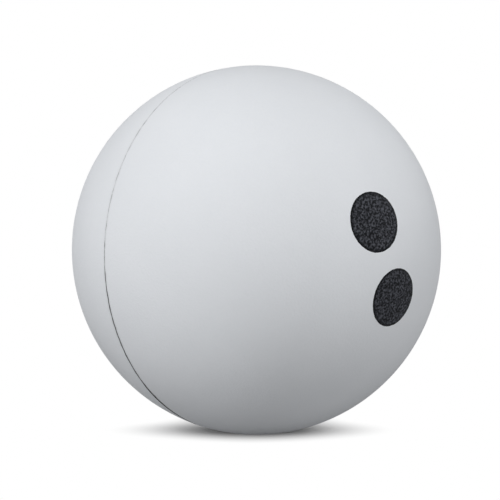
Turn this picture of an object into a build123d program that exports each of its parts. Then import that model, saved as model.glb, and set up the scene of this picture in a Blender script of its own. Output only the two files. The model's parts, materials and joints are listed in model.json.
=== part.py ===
from build123d import *
import math
import os

# Squash ball: two moulded rubber half shells, bonded rim to rim and printed with a mark of two dots.
# Sizes are in millimetres and degrees. The origin is the ball's centre, with +Z up and +X through
# the pole of the printed half, so the seam lies in the plane of Y and Z.

# Driving dimensions of the ball
BALL_DIAMETER = 40.0
WALL = 5.0

# Driving dimensions of the bonded seam
BOND_LINE = 0.12  # thickness of the adhesive between the two flat rims
RIM_BEVEL = 0.06  # bevel on the outer edge of each rim
BOND_SETBACK = 0.15  # depth of the adhesive's outer edge under the ball's surface
BEAD_RADIUS = 0.40  # adhesive squeezed out along the inside of the seam

# Driving dimensions of the printed mark, measured along the ball's surface
DOT_DIAMETER = 5.6
DOT_GAP = 2.0  # between the two dots' near edges
INK_THICKNESS = 0.03
MARK_AZIMUTH = -8.0  # from +X towards +Y, to the mark's middle
MARK_TILT = 20.0  # lean of the mark's upright towards -Y

OUTER_RADIUS = BALL_DIAMETER / 2
INNER_RADIUS = OUTER_RADIUS - WALL
RIM_PLANE = BOND_LINE / 2


def angle_at_height(radius, height):
    """Polar angle, from the axis, of the point of a circle that stands this far along the axis."""
    return math.degrees(math.acos(height / radius))


def half_shell():
    """One moulding, on the +X side: a hollow hemisphere with a flat rim, bevelled outside."""
    outer = CenterArc((0, 0), OUTER_RADIUS, 0, angle_at_height(OUTER_RADIUS, RIM_PLANE + RIM_BEVEL))
    inner = CenterArc((0, 0), INNER_RADIUS, 0, angle_at_height(INNER_RADIUS, RIM_PLANE))
    bevel_foot = (RIM_PLANE, (outer @ 1).Y - RIM_BEVEL)
    bevel = Line(outer @ 1, bevel_foot)
    rim = Line(bevel_foot, inner @ 1)
    pole = Line(inner @ 0, outer @ 0)
    return revolve(make_face([outer, bevel, rim, inner, pole]), axis=Axis.X)


def seam_adhesive():
    """The bonded film between the rims, and the round bead that lies on the inner wall."""
    film_edge = OUTER_RADIUS - BOND_SETBACK
    rim_angle = angle_at_height(INNER_RADIUS, RIM_PLANE)
    bead_angle = 90 - math.degrees(2 * math.asin(BEAD_RADIUS / (2 * INNER_RADIUS)))
    wall_right = CenterArc((0, 0), INNER_RADIUS, bead_angle, rim_angle - bead_angle)
    wall_left = CenterArc((0, 0), INNER_RADIUS, 180 - rim_angle, rim_angle - bead_angle)
    bead = ThreePointArc(wall_right @ 0, (0, INNER_RADIUS - BEAD_RADIUS), wall_left @ 1)
    film = Polyline(wall_right @ 1, (RIM_PLANE, film_edge), (-RIM_PLANE, film_edge), wall_left @ 0)
    return revolve(make_face([wall_right, *film.edges(), wall_left, bead]), axis=Axis.X)


def ink_dot():
    """A round film of ink on the +X pole of the ball, curved as the ball is."""
    half_angle = math.degrees(DOT_DIAMETER / BALL_DIAMETER)
    under = CenterArc((0, 0), OUTER_RADIUS, 0, half_angle)
    top = CenterArc((0, 0), OUTER_RADIUS + INK_THICKNESS, 0, half_angle)
    pole = Line(under @ 0, top @ 0)
    edge = Line(under @ 1, top @ 1)
    return revolve(make_face([under, edge, top, pole]), axis=Axis.X)


def placed_dot(side):
    """A dot above the mark's middle for side +1, or below it for side -1."""
    offset = math.degrees((DOT_DIAMETER + DOT_GAP) / 2 / OUTER_RADIUS)
    return Rot(Z=MARK_AZIMUTH) * Rot(X=MARK_TILT) * Rot(Y=-side * offset) * ink_dot()


parts = {
    "half_shell_right": half_shell(),
    "half_shell_left": Rot(Z=180) * half_shell(),
    "seam_adhesive": seam_adhesive(),
    "speed_dot_upper": placed_dot(+1),
    "speed_dot_lower": placed_dot(-1),
}

os.makedirs("parts", exist_ok=True)
for name, part in parts.items():
    part.label = name
    export_step(part, f"parts/{name}.step")
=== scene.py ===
import json
import math

import bpy
from mathutils import Matrix, Vector


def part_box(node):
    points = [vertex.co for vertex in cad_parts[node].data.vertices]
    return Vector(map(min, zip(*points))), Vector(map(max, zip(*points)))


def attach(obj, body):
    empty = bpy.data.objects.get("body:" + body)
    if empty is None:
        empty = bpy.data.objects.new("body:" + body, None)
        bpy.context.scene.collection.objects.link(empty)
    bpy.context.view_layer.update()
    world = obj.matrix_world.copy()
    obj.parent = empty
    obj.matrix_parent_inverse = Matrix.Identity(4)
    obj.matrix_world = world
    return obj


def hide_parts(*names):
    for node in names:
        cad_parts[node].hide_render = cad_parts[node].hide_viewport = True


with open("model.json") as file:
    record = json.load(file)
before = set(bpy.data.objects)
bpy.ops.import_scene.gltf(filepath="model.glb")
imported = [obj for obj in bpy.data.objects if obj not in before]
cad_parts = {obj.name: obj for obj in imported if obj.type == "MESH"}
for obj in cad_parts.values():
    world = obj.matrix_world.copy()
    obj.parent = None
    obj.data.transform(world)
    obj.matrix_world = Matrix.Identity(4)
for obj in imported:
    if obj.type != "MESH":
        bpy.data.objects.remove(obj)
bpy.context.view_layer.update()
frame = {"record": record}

# Sizes of the ball, in metres. The frame gives its radius and the rims' distance from the seam's middle.
BALL_RADIUS = frame["record"]["mounts"][0]["dims"]["r_mm"] / 1000
RIM_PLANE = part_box("half_shell_right")[0].x
WALL = 0.005
INNER_RADIUS = BALL_RADIUS - WALL
BEAD_RADIUS = 0.0004

# The lip of each half shell, where buffing has rounded it into the seam groove. The ball's surface beside
# the lip moves with it, less and less over the blend.
LIP_REACH = 0.00013
LIP_DEPTH = 0.00008
LIP_BLEND = 0.0010
LIP_BLEND_POWER = 2
RIM_DEPTH = 0.00018

# The seam closes from below to above, in two steps. These are the heights of the steps in ball radii, and
# the share of the groove's width that the lips take up at the ball's foot, where the groove is open and
# where it is closed. Below 0 the lips stand back. The share wavers along the seam, within limits.
FOOT_BELOW = -0.78
OPEN_ABOVE = -0.54
OPEN_BELOW = -0.42
CLOSED_ABOVE = 0.20
FOOT_SHARE = -0.25
OPEN_SHARE = 0.45
CLOSED_SHARE = 0.93
SHARE_WAVER = 0.32
LEAST_SHARE = -0.5
MOST_SHARE = 0.96

# The film of adhesive: the depth under the ball's surface to which buffing has worn it, and the share of
# that depth by which it wavers
FILM_DEPTH = 0.000002
FILM_WAVER = 0.5

# The printed mark: two dots of ink, measured along the ball's surface. A higher power makes the ink's
# rounded edge, or its ragged rim, narrower. The raggedness is a share of the dot's radius.
DOT_DIAMETER = 0.0056
DOT_GAP = 0.002
INK_THICKNESS = 0.00003
INK_EDGE_POWER = 24
INK_RIM_POWER = 4
RIM_RAGGEDNESS = 0.012
MARK_AZIMUTH = math.radians(-8)
MARK_TILT = math.radians(20)

# The waver of uneven edges: its features in a length of one radius of the turned piece, its noise, the
# part of the noise's range that is spread from -1 to 1, and each piece's seed
LIP_WAVER_SCALE = 22.0
FILM_WAVER_SCALE = 24.0
RIM_WAVER_SCALE = 7.0
WAVER_DETAIL = 3.0
WAVER_ROUGHNESS = 0.6
WAVER_RANGE = (0.25, 0.75)
SEEDS = {"right_half_shell": 3, "left_half_shell": 8, "seam_film": 5, "upper_dot": 11, "lower_dot": 17}

# Counts of rings and steps in the turned pieces. The outer rings crowd towards the lip. Points nearer to
# each other than the merging distance become one.
OUTER_RINGS = 84
RING_CROWDING = 1.5
LIP_RINGS = 8
INNER_RINGS = 24
BEAD_RINGS = 10
DOT_RINGS = 24
BALL_STEPS = 720
DOT_STEPS = 180
MERGING_DISTANCE = 2e-7

# The photograph's frame in pixels, with the ball's outline in it, and the view that gives its seam: angles
# in degrees, and the camera's distance in ball radii
PHOTO_SIDE = 500
OUTLINE_RADIUS = 184.6
OUTLINE_CENTRE = (256.5, 250.0)
VIEW_AZIMUTH = 45.2
VIEW_ELEVATION = 3.45
VIEW_REACH = 4.35
SENSOR_WIDTH = 36.0
CLIP_START = 0.001

WHITE = (1, 1, 1, 1)


def direction(azimuth, elevation):
    """Unit vector from the ball's centre: azimuth 0 is towards -Y and 90 is towards +X, in degrees."""
    a = math.radians(azimuth)
    e = math.radians(elevation)
    return Vector((math.sin(a) * math.cos(e), -math.cos(a) * math.cos(e), math.sin(e)))


def aim_at_ball(thing, place):
    """Puts a camera or lamp at a place, looking at the ball's centre with +Z up."""
    thing.location = place
    thing.rotation_euler = (-place).to_track_quat("-Z", "Y").to_euler()


def show(thing):
    """Links an object to the scene."""
    bpy.context.scene.collection.objects.link(thing)
    return thing


class Wiring:
    """Short words for adding linked nodes to a tree."""

    def __init__(self, tree):
        self.tree = tree
        self.nodes = tree.nodes

    def add(self, kind, *values, **settings):
        """A node with these settings, whose shown inputs, in order, take sockets or plain values."""
        node = self.nodes.new(kind)
        for name, value in settings.items():
            setattr(node, name, value)
        shown = [socket for socket in node.inputs if socket.enabled]
        for socket, value in zip(shown, values):
            self.feed(socket, value)
        return node

    def feed(self, socket, value):
        """Links a socket to an input, or sets the input to a plain value; None leaves it alone."""
        if isinstance(value, bpy.types.NodeSocket):
            self.tree.links.new(value, socket)
        elif value is not None:
            socket.default_value = value

    def out(self, kind, *values, **settings):
        """The first shown output of a node added the same way."""
        node = self.add(kind, *values, **settings)
        return next(socket for socket in node.outputs if socket.enabled)

    def math(self, operation, *values):
        return self.out("ShaderNodeMath", *values, operation=operation)

    def square(self, value):
        return self.math("POWER", value, 2.0)

    def ramp(self, value, start, end, low, high, shape="LINEAR"):
        """A value carried from the range start to end onto the range low to high, and held there."""
        return self.out("ShaderNodeMapRange", value, start, end, low, high, interpolation_type=shape)

    def blend(self, share, first, second):
        """A colour that goes from the first to the second as the share goes from 0 to 1."""
        return self.out("ShaderNodeMix", share, first, second, data_type="RGBA")


# Camera
def set_camera():
    """A camera that sees the ball's outline as large and in the same place as the photograph does."""
    camera = bpy.data.cameras.new("camera")
    camera.sensor_width = SENSOR_WIDTH
    camera.lens = SENSOR_WIDTH * OUTLINE_RADIUS / PHOTO_SIDE * math.sqrt(VIEW_REACH**2 - 1)
    camera.shift_x = 0.5 - OUTLINE_CENTRE[0] / PHOTO_SIDE
    camera.shift_y = OUTLINE_CENTRE[1] / PHOTO_SIDE - 0.5
    camera.clip_start = CLIP_START
    holder = show(bpy.data.objects.new("camera", camera))
    aim_at_ball(holder, VIEW_REACH * BALL_RADIUS * direction(VIEW_AZIMUTH, VIEW_ELEVATION))
    bpy.context.scene.camera = holder
    bpy.context.scene.view_settings.view_transform = "Standard"


# Studio light, all white: name, azimuth, elevation, width of the round panel in metres, power in watts
LAMP_DISTANCE = 0.40
LAMPS = [
    ("key_softbox", 15, 45, 0.16, 0.62),
    ("left_panel", -30, 7, 0.10, 0.50),
    ("front_panel", 60, 7, 0.10, 0.35),
    ("front_softbox", 60, 25, 0.16, 0.14),
    ("right_softbox", 120, 45, 0.16, 0.33),
    ("right_panel", 135, 7, 0.10, 0.19),
    ("back_panel", 225, 8, 0.14, 0.80),
]
WORLD_LIGHT = 0.10


def light_studio():
    for name, azimuth, elevation, width, power in LAMPS:
        lamp = bpy.data.lights.new(name, "AREA")
        lamp.shape = "DISK"
        lamp.size = width
        lamp.energy = power
        holder = show(bpy.data.objects.new(name, lamp))
        aim_at_ball(holder, LAMP_DISTANCE * direction(azimuth, elevation))


def shown_to_eye(w):
    """1 for rays that show a surface to the camera, straight or through gloss or glass, else 0."""
    path = w.add("ShaderNodeLightPath").outputs
    either = w.math("MAXIMUM", path["Is Camera Ray"], path["Is Glossy Ray"])
    return w.math("MAXIMUM", either, path["Is Transmission Ray"])


def set_world():
    """A world that is white to the eye and gives a little light from all round."""
    world = bpy.data.worlds.new("studio")
    world.use_nodes = True
    w = Wiring(world.node_tree)
    background = w.nodes["Background"]
    background.inputs["Color"].default_value = WHITE
    w.feed(background.inputs["Strength"], w.ramp(shown_to_eye(w), 0.0, 1.0, WORLD_LIGHT, 1.0))
    bpy.context.scene.world = world


# Floor: its tone for light that bounces, and for the eye. It keeps the ball's shadow in an oval at the
# ball's foot, wide across the view, and in a round patch behind it. Away from both, between the shadow's
# reach and the start of the backdrop, it passes into white.
FLOOR_SIDE = 3.0
FLOOR_BOUNCE = 0.29
FLOOR_WHITE = 0.6
SHADOW_REACH = 0.0009
BACKDROP_START = 0.0043
SHADOW_SPREAD = 3.8
SHADOW_LEAD = 0.0011
SHADOW_LEFT = 0.0007
PATCH_SPREAD = 2.1
PATCH_BEHIND = 0.004
PATCH_BLEND = 0.005


def distance_from(w, spot, middle, spread):
    """Distance on the floor from a middle, with lengths across and along the view divided by a spread."""
    turn = (0, 0, math.radians(VIEW_AZIMUTH))
    oval = w.out("ShaderNodeMapping", spot, middle, turn, (*spread, 1), vector_type="TEXTURE")
    return w.add("ShaderNodeVectorMath", oval, operation="LENGTH").outputs["Value"]


def away_from_shadow(w):
    """0 where the floor keeps the ball's shadow, and 1 where it is backdrop."""
    place = w.add("ShaderNodeTexCoord").outputs["Object"]
    spot = w.out("ShaderNodeVectorMath", place, (1, 1, 0), operation="MULTIPLY")
    forward = direction(VIEW_AZIMUTH, 0)
    left = direction(VIEW_AZIMUTH - 90, 0)
    oval = distance_from(w, spot, SHADOW_LEAD * forward + SHADOW_LEFT * left, (SHADOW_SPREAD, 1))
    patch = distance_from(w, spot, -PATCH_BEHIND * forward, (PATCH_SPREAD, PATCH_SPREAD))
    nearest = w.math("SMOOTH_MIN", oval, patch, PATCH_BLEND)
    return w.ramp(nearest, SHADOW_REACH, BACKDROP_START, 0.0, 1.0, "SMOOTHSTEP")


def floor_paper():
    """Pale paper with the ball's shadow, which the eye sees pass into a white backdrop."""
    material = bpy.data.materials.new("floor_paper")
    material.use_nodes = True
    w = Wiring(material.node_tree)
    w.nodes.remove(w.nodes["Principled BSDF"])
    seen = shown_to_eye(w)
    paper = w.out("ShaderNodeBsdfDiffuse", w.ramp(seen, 0.0, 1.0, FLOOR_BOUNCE, FLOOR_WHITE))
    backdrop = w.out("ShaderNodeEmission", WHITE, 1.0)
    passed = w.math("MULTIPLY", away_from_shadow(w), seen)
    surface = w.out("ShaderNodeMixShader", passed, paper, backdrop)
    w.feed(w.nodes["Material Output"].inputs["Surface"], surface)
    return material


def lay_floor():
    half = FLOOR_SIDE / 2
    corners = [(-half, -half), (half, -half), (half, half), (-half, half)]
    mesh = bpy.data.meshes.new("floor")
    mesh.from_pydata([(x, y, -BALL_RADIUS) for x, y in corners], [], [(0, 1, 2, 3)])
    mesh.materials.append(floor_paper())
    floor = show(bpy.data.objects.new("floor", mesh))


# The name of each point's edge share: how far it belongs to an uneven edge, from 0 to 1
EDGE_SHARE = "edge_share"


# Finishes. A pattern's scale counts its features in a metre of the ball's surface. A range gives the
# values of a pattern, or of the edge share, between which a finish changes.
def new_finish(name):
    """A material with the wiring of its tree, its shader and the ball's own coordinates."""
    material = bpy.data.materials.new(name)
    material.use_nodes = True
    w = Wiring(material.node_tree)
    return material, w, w.nodes["Principled BSDF"], w.add("ShaderNodeTexCoord").outputs["Object"]


def noise(w, spot, scale, detail, roughness):
    return w.out("ShaderNodeTexNoise", spot, scale, detail, roughness, noise_dimensions="3D")


def stored_edge_share(w):
    """The edge share that is stored on the piece's mesh."""
    return w.add("ShaderNodeAttribute", attribute_name=EDGE_SHARE).outputs["Fac"]


def relief(w, shader, height, depth):
    """Raises the surface by a height of 0 to 1 times a depth in metres."""
    bump = w.add("ShaderNodeBump")
    bump.inputs["Strength"].default_value = 1.0
    bump.inputs["Distance"].default_value = depth
    w.feed(bump.inputs["Height"], height)
    w.feed(shader.inputs["Normal"], bump.outputs["Normal"])


# Buffed rubber. A fleck's sizes are in cells of its scale, and its rarity is the share of cells with none.
RUBBER_PALE = (0.775, 0.795, 0.825, 1)
RUBBER_DULL = (0.750, 0.772, 0.803, 1)
RUBBER_CLOUDS = {"scale": 110.0, "detail": 3.0, "roughness": 0.55}
RUBBER_GRAIN = {"scale": 5000.0, "detail": 4.0, "roughness": 0.6}
CLOUD_SHARE = 0.6
MOTTLE_RANGE = (0.36, 0.64)
RUBBER_ROUGHNESS = (0.90, 0.80)
RUBBER_SPECULAR = 0.08
RUBBER_RELIEF = 0.000025
FLECK_COLOUR = (0.45, 0.46, 0.48, 1)
FLECK_SCALE = 420.0
FLECK_CORE = 0.0225
FLECK_SIZE = 0.045
FLECK_RARITY = 0.90
# Along the seam's lips the rubber is darker in patches. This is partly a stain and partly painted shade of
# the seam's groove.
SEAM_STAIN_AND_SHADE_COLOUR = (0.66, 0.675, 0.70, 1)
STAIN_AND_SHADE_PATCHES = {"scale": 400.0, "detail": 2.0, "roughness": 0.5}
STAIN_AND_SHADE_PATCH_RANGE = (0.35, 0.65)
STAIN_AND_SHADE_LEAST = 0.3
STAIN_AND_SHADE_EDGE_RANGE = (0.35, 1.0)


def rubber_flecks(w, spot):
    """1 in rare small flecks, else 0."""
    cells = w.add("ShaderNodeTexVoronoi", spot, FLECK_SCALE)
    speck = w.ramp(cells.outputs["Distance"], FLECK_CORE, FLECK_SIZE, 1.0, 0.0)
    chance = w.out("ShaderNodeSeparateColor", cells.outputs["Color"])
    return w.math("MULTIPLY", speck, w.math("GREATER_THAN", chance, FLECK_RARITY))


def seam_stain_and_shade(w, spot):
    """How far the rubber is darkened along the seam, in patches: 0 away from it, and up to 1 at its lips.
    The darkening is partly a stain and partly painted shade of the seam's groove.
    """
    near = w.ramp(stored_edge_share(w), *STAIN_AND_SHADE_EDGE_RANGE, 0.0, 1.0, "SMOOTHSTEP")
    patches = w.ramp(noise(w, spot, **STAIN_AND_SHADE_PATCHES), *STAIN_AND_SHADE_PATCH_RANGE, STAIN_AND_SHADE_LEAST, 1.0)
    return w.math("MULTIPLY", near, patches)


def rubber_finish():
    """Buffed rubber: faint clouds and a fine grain, a rare dark fleck, and a faint darkening at the seam
    that is partly a stain and partly painted shade.
    """
    material, w, shader, spot = new_finish("buffed_rubber")
    clouds = noise(w, spot, **RUBBER_CLOUDS)
    grain = noise(w, spot, **RUBBER_GRAIN)
    fine = w.math("MULTIPLY", grain, 1 - CLOUD_SHARE)
    mottle = w.math("ADD", w.math("MULTIPLY", clouds, CLOUD_SHARE), fine)
    rubber = w.blend(w.ramp(mottle, *MOTTLE_RANGE, 0.0, 1.0), RUBBER_DULL, RUBBER_PALE)
    # Painted shade of the seam's groove, partly a stain, darkens the rubber along the lips
    stained_and_shaded = w.blend(seam_stain_and_shade(w, spot), rubber, SEAM_STAIN_AND_SHADE_COLOUR)
    w.feed(shader.inputs["Base Color"], w.blend(rubber_flecks(w, spot), stained_and_shaded, FLECK_COLOUR))
    w.feed(shader.inputs["Roughness"], w.ramp(mottle, *MOTTLE_RANGE, *RUBBER_ROUGHNESS))
    shader.inputs["Specular IOR Level"].default_value = RUBBER_SPECULAR
    relief(w, shader, grain, RUBBER_RELIEF)
    return material


# Cured adhesive
ADHESIVE_DARK = (0.013, 0.013, 0.015, 1)
ADHESIVE_DUSTY = (0.040, 0.040, 0.043, 1)
ADHESIVE_DUST = {"scale": 1500.0, "detail": 4.0, "roughness": 0.6}
DUST_COLOUR_RANGE = (0.4, 0.7)
DUST_ROUGHNESS_RANGE = (0.3, 0.7)
ADHESIVE_ROUGHNESS = (0.70, 0.90)
ADHESIVE_SPECULAR = 0.1


def adhesive_finish():
    """Cured rubber adhesive, dark, with a little buffing dust on it."""
    material, w, shader, spot = new_finish("cured_adhesive")
    dust = noise(w, spot, **ADHESIVE_DUST)
    dusty = w.ramp(dust, *DUST_COLOUR_RANGE, 0.0, 1.0)
    w.feed(shader.inputs["Base Color"], w.blend(dusty, ADHESIVE_DARK, ADHESIVE_DUSTY))
    w.feed(shader.inputs["Roughness"], w.ramp(dust, *DUST_ROUGHNESS_RANGE, *ADHESIVE_ROUGHNESS))
    shader.inputs["Specular IOR Level"].default_value = ADHESIVE_SPECULAR
    return material


# Screen ink. Along the rim, only a share of its thinning is left.
INK_SOLID = (0.005, 0.0055, 0.0068, 1)
INK_THIN = (0.089, 0.093, 0.108, 1)
INK_GRAIN = {"scale": 5000.0, "detail": 3.0, "roughness": 0.6}
INK_THIN_RANGE = (0.44, 0.63)
INK_RIM_RANGE = (0.62, 0.82)
INK_RIM_THINNING = 0.2
INK_ROUGHNESS = (0.55, 0.75)
INK_SPECULAR = 0.04
INK_RELIEF = 0.000003


def ink_finish():
    """Screen ink, near black: solid along its rim, and thinner inside, where the rubber's grain shows."""
    material, w, shader, spot = new_finish("screen_ink")
    grain = noise(w, spot, **INK_GRAIN)
    inside = w.ramp(stored_edge_share(w), *INK_RIM_RANGE, 1.0, INK_RIM_THINNING)
    thin = w.math("MULTIPLY", w.ramp(grain, *INK_THIN_RANGE, 0.0, 1.0), inside)
    w.feed(shader.inputs["Base Color"], w.blend(thin, INK_SOLID, INK_THIN))
    w.feed(shader.inputs["Roughness"], w.ramp(thin, 0.0, 1.0, *INK_ROUGHNESS))
    shader.inputs["Specular IOR Level"].default_value = INK_SPECULAR
    relief(w, shader, grain, INK_RELIEF)
    return material


# Geometry trees
class Turning(Wiring):
    """A geometry tree that turns a section about X, with an edge that can be uneven round the turn.

    The section's points have their X along the axis and their Y out from it. Their edge share says how
    much of the unevenness each one takes. A flat grid, with a row for each point of the section and one
    column more than the turn has steps, is rolled up until its last column meets its first.
    """

    def __init__(self, name, sizes):
        super().__init__(bpy.data.node_groups.new(name, "GeometryNodeTree"))
        self.given = self.named_inputs(sizes)
        section, steps = self.given["Geometry"], self.given["Steps Around"]
        rings = self.add("GeometryNodeAttributeDomainSize", section).outputs["Point Count"]
        columns = self.whole("ADD", steps, 1)
        self.grid = self.out("GeometryNodeMeshGrid", 1.0, 1.0, rings, columns)
        index = self.out("GeometryNodeInputIndex")
        ring = self.whole("DIVIDE_FLOOR", index, columns)
        point = self.sampled("FLOAT_VECTOR", self.out("GeometryNodeInputPosition"), ring)
        place = self.add("ShaderNodeSeparateXYZ", point).outputs
        self.along, self.radius = place["X"], place["Y"]
        share = self.out("GeometryNodeInputNamedAttribute", EDGE_SHARE, data_type="FLOAT")
        self.edge_share = self.sampled("FLOAT", share, ring)
        turn = self.math("DIVIDE", self.whole("MODULO", index, columns), steps)
        angle = self.math("MULTIPLY", turn, math.tau)
        self.sideways, self.height = self.math("COSINE", angle), self.math("SINE", angle)
        self.around = self.out("ShaderNodeCombineXYZ", 0.0, self.sideways, self.height)

    def named_inputs(self, sizes):
        """Gives the tree its inputs, the piece's own sizes among them, and its output."""
        kinds = {
            "Geometry": "NodeSocketGeometry",
            "Steps Around": "NodeSocketInt",
            **{size: "NodeSocketFloat" for size in sizes},
            "Waver Scale": "NodeSocketFloat",
            "Seed": "NodeSocketInt",
            "Material": "NodeSocketMaterial",
        }
        for label, kind in kinds.items():
            self.tree.interface.new_socket(label, in_out="INPUT", socket_type=kind)
        self.tree.interface.new_socket("Geometry", in_out="OUTPUT", socket_type="NodeSocketGeometry")
        return self.add("NodeGroupInput").outputs

    def whole(self, operation, *values):
        return self.out("FunctionNodeIntegerMath", *values, operation=operation)

    def sampled(self, kind, value, ring):
        """A value of the section's own points, taken at a ring of the grid."""
        return self.out("GeometryNodeSampleIndex", self.given["Geometry"], value, ring, data_type=kind)

    def waver(self):
        """Noise from about -1 to 1 along the edge, the same at both ends of the turn."""
        raw = self.out(
            "ShaderNodeTexNoise",
            self.around,
            self.given["Seed"],
            self.given["Waver Scale"],
            WAVER_DETAIL,
            WAVER_ROUGHNESS,
            noise_dimensions="4D",
        )
        return self.ramp(raw, *WAVER_RANGE, -1.0, 1.0)

    def finish(self, along, radius):
        """Puts the points at their places, with their edge share stored on them for the finishes.

        Then the poles and the ends of the turn are closed, and the piece gets its material.
        """
        outward = self.out("ShaderNodeVectorMath", self.around, radius, operation="SCALE")
        lengthwise = self.out("ShaderNodeCombineXYZ", along, 0.0, 0.0)
        spot = self.out("ShaderNodeVectorMath", outward, lengthwise, operation="ADD")
        placed = self.out("GeometryNodeSetPosition", self.grid, None, spot)
        marked = self.out("GeometryNodeStoreNamedAttribute", placed, None, EDGE_SHARE, self.edge_share)
        closed = self.out("GeometryNodeMergeByDistance", marked, None, MERGING_DISTANCE)
        smooth = self.out("GeometryNodeSetShadeSmooth", closed, None, True)
        real = self.out("GeometryNodeRealizeInstances", smooth)
        painted = self.out("GeometryNodeSetMaterial", real, None, self.given["Material"])
        self.add("NodeGroupOutput", painted)
        return self.tree


def half_shell_tree():
    """A half shell whose lip is drawn in towards the seam, most where the seam is closed."""
    heights = ["Foot Below", "Open Above", "Open Below", "Closed Above"]
    shares = ["Foot Share", "Open Share", "Closed Share", "Least Share", "Most Share"]
    w = Turning("half_shell", [*heights, *shares, "Waver"])
    foot_below, open_above, open_below, closed_above = [w.given[label] for label in heights]
    foot, opened, closed, least, most = [w.given[label] for label in shares]
    below = w.ramp(w.height, foot_below, open_above, foot, opened, "SMOOTHSTEP")
    closing = w.ramp(w.height, open_below, closed_above, 0.0, 1.0, "SMOOTHSTEP")
    even = w.ramp(closing, 0.0, 1.0, below, closed)
    uneven = w.math("ADD", even, w.math("MULTIPLY", w.waver(), w.given["Waver"]))
    drawn = w.out("ShaderNodeClamp", uneven, least, most)
    kept = w.math("SUBTRACT", 1.0, w.math("MULTIPLY", w.edge_share, drawn))
    # A point that is drawn along the axis keeps its distance from the ball's centre
    along = w.math("MULTIPLY", w.along, kept)
    reach = w.math("ADD", w.square(w.along), w.square(w.radius))
    return w.finish(along, w.math("SQRT", w.math("SUBTRACT", reach, w.square(along))))


def seam_film_tree():
    """The film of adhesive, whose outer edge is worn unevenly, a little under the ball's surface."""
    w = Turning("seam_film", ["Depth", "Waver"])
    uneven = w.math("ADD", 1.0, w.math("MULTIPLY", w.waver(), w.given["Waver"]))
    depth = w.math("MULTIPLY", w.given["Depth"], uneven)
    return w.finish(w.along, w.math("SUBTRACT", w.radius, w.math("MULTIPLY", w.edge_share, depth)))


def ink_dot_tree():
    """A dot of ink on the pole of the ball, whose rim is slightly ragged."""
    w = Turning("ink_dot", ["Raggedness"])
    ragged = w.math("MULTIPLY", w.math("MULTIPLY", w.waver(), w.given["Raggedness"]), w.edge_share)
    angle = w.math("MULTIPLY", w.math("ARCTAN2", w.radius, w.along), w.math("ADD", 1.0, ragged))
    reach = w.math("SQRT", w.math("ADD", w.square(w.along), w.square(w.radius)))
    along = w.math("MULTIPLY", reach, w.math("COSINE", angle))
    return w.finish(along, w.math("MULTIPLY", reach, w.math("SINE", angle)))


# Sections: points along the axis and out from it, with their edge share
def arc(radius, angle, share=0.0):
    """A point of a section on a circle round the ball's centre, at an angle from the axis."""
    return (radius * math.cos(angle), radius * math.sin(angle), share)


def half_shell_section():
    """From the outer pole over the rounded lip, down the rim and back along the inner wall."""
    lip_start = RIM_PLANE + LIP_REACH
    lip_angle = math.acos(lip_start / BALL_RADIUS)
    lip_top = BALL_RADIUS * math.sin(lip_angle)
    rim_angle = math.acos(RIM_PLANE / INNER_RADIUS)
    section = []
    for ring in range(OUTER_RINGS):
        angle = lip_angle * (1 - (1 - ring / OUTER_RINGS) ** RING_CROWDING)
        nearness = 1 - (BALL_RADIUS * math.cos(angle) - lip_start) / LIP_BLEND
        section.append(arc(BALL_RADIUS, angle, max(nearness, 0.0) ** LIP_BLEND_POWER))
    for ring in range(LIP_RINGS + 1):
        turn = math.radians(90) * ring / LIP_RINGS
        along = lip_start - LIP_REACH * math.sin(turn)
        section.append((along, lip_top - LIP_DEPTH * (1 - math.cos(turn)), 1.0))
    section.append((RIM_PLANE, BALL_RADIUS - RIM_DEPTH, 0.0))
    for ring in range(INNER_RINGS + 1):
        section.append(arc(INNER_RADIUS, rim_angle * (1 - ring / INNER_RINGS)))
    return section


def seam_film_section():
    """Round the film, which fills the groove and the gap between the rims, and the bead inside them."""
    wall_radius = math.sqrt(INNER_RADIUS**2 - RIM_PLANE**2)
    bead_half = math.acos(BEAD_RADIUS / 2 / INNER_RADIUS)
    section = [(share * (RIM_PLANE + LIP_REACH), BALL_RADIUS, 1.0) for share in (1, 0, -1)]
    section.append((-RIM_PLANE, BALL_RADIUS - RIM_DEPTH, 0.0))
    section.append((-RIM_PLANE, wall_radius, 0.0))
    for ring in range(BEAD_RINGS + 1):
        angle = bead_half * (2 * ring / BEAD_RINGS - 1)
        radius = INNER_RADIUS - BEAD_RADIUS * math.cos(angle)
        section.append((BEAD_RADIUS * math.sin(angle), radius, 0.0))
    section.append((RIM_PLANE, wall_radius, 0.0))
    section.append((RIM_PLANE, BALL_RADIUS - RIM_DEPTH, 0.0))
    section.append(section[0])
    return section


def ink_dot_section():
    """Over the top of the film of ink from its middle to its rim, and back on the ball's surface."""
    half_angle = DOT_DIAMETER / 2 / BALL_RADIUS
    shares = [ring / DOT_RINGS for ring in range(DOT_RINGS + 1)]
    top = []
    for share in shares:
        thickness = INK_THICKNESS * math.sqrt(1 - share**INK_EDGE_POWER)
        top.append(arc(BALL_RADIUS + thickness, half_angle * share, share**INK_RIM_POWER))
    under = [arc(BALL_RADIUS, half_angle * share, share**INK_RIM_POWER) for share in reversed(shares)]
    return top + under[1:]


# Pieces
def set_inputs(modifier, values):
    """Sets a tree's named inputs on its modifier, each by its socket's identifier."""
    for item in modifier.node_group.interface.items_tree:
        if item.in_out == "INPUT" and item.name in values:
            modifier[item.identifier] = values[item.name]


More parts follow.
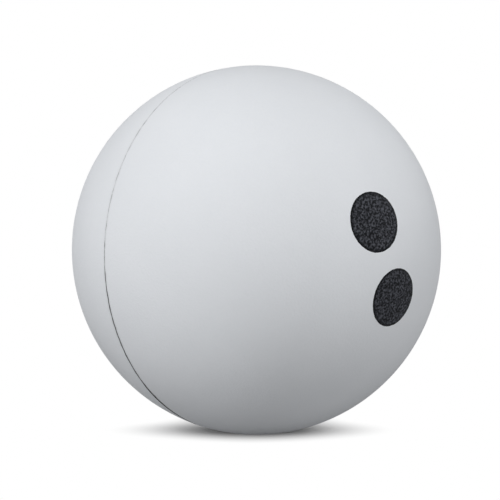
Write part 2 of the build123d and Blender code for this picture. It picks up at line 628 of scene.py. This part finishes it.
def turned_piece(name, section, tree, values, place=Matrix()):
    """Runs a tree on a section, and gives the plain mesh that it makes, put at its place."""
    outline = bpy.data.meshes.new(name + "_section")
    outline.from_pydata([(along, radius, 0.0) for along, radius, share in section], [], [])
    shares = outline.attributes.new(EDGE_SHARE, "FLOAT", "POINT")
    shares.data.foreach_set("value", [share for along, radius, share in section])
    maker = show(bpy.data.objects.new(name + "_maker", outline))
    modifier = maker.modifiers.new("turning", "NODES")
    modifier.node_group = tree
    set_inputs(modifier, {**values, "Seed": SEEDS[name]})
    evaluated = maker.evaluated_get(bpy.context.evaluated_depsgraph_get())
    mesh = bpy.data.meshes.new_from_object(evaluated)
    bpy.data.objects.remove(maker)
    mesh.name = name
    # The grid's own empty material slot comes before the piece's
    mesh.materials.pop(index=0)
    mesh.transform(place)
    return show(bpy.data.objects.new(name, mesh))


def fit(piece, node):
    """Puts a piece under the ball's root body, to stand for its CAD node, which is hidden."""
    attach(piece, "root")
    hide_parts(node)


def make_half_shells(rubber):
    """Two half shells of the same section, each with its own waver of the lip."""
    tree, section = half_shell_tree(), half_shell_section()
    values = {
        "Steps Around": BALL_STEPS,
        "Foot Below": FOOT_BELOW,
        "Open Above": OPEN_ABOVE,
        "Open Below": OPEN_BELOW,
        "Closed Above": CLOSED_ABOVE,
        "Foot Share": FOOT_SHARE,
        "Open Share": OPEN_SHARE,
        "Closed Share": CLOSED_SHARE,
        "Least Share": LEAST_SHARE,
        "Most Share": MOST_SHARE,
        "Waver": SHARE_WAVER,
        "Waver Scale": LIP_WAVER_SCALE,
        "Material": rubber,
    }
    for side, place in {"right": Matrix(), "left": Matrix.Rotation(math.pi, 4, "Z")}.items():
        piece = turned_piece(side + "_half_shell", section, tree, values, place)
        fit(piece, "half_shell_" + side)


def make_seam_film(adhesive):
    """The film that bonds the two rims, with the bead that squeezes out inside."""
    values = {
        "Steps Around": BALL_STEPS,
        "Depth": FILM_DEPTH,
        "Waver": FILM_WAVER,
        "Waver Scale": FILM_WAVER_SCALE,
        "Material": adhesive,
    }
    piece = turned_piece("seam_film", seam_film_section(), seam_film_tree(), values)
    fit(piece, "seam_adhesive")


def make_ink_dots(ink):
    """The two dots of the mark, one above and one below its middle."""
    tree, section = ink_dot_tree(), ink_dot_section()
    values = {
        "Steps Around": DOT_STEPS,
        "Raggedness": RIM_RAGGEDNESS,
        "Waver Scale": RIM_WAVER_SCALE,
        "Material": ink,
    }
    offset = (DOT_DIAMETER + DOT_GAP) / 2 / BALL_RADIUS
    mark = Matrix.Rotation(MARK_AZIMUTH, 4, "Z") @ Matrix.Rotation(MARK_TILT, 4, "X")
    for name, lift in {"upper": offset, "lower": -offset}.items():
        place = mark @ Matrix.Rotation(-lift, 4, "Y")
        piece = turned_piece(name + "_dot", section, tree, values, place)
        fit(piece, "speed_dot_" + name)


set_camera()
light_studio()
set_world()
lay_floor()
make_half_shells(rubber_finish())
make_seam_film(adhesive_finish())
make_ink_dots(ink_finish())
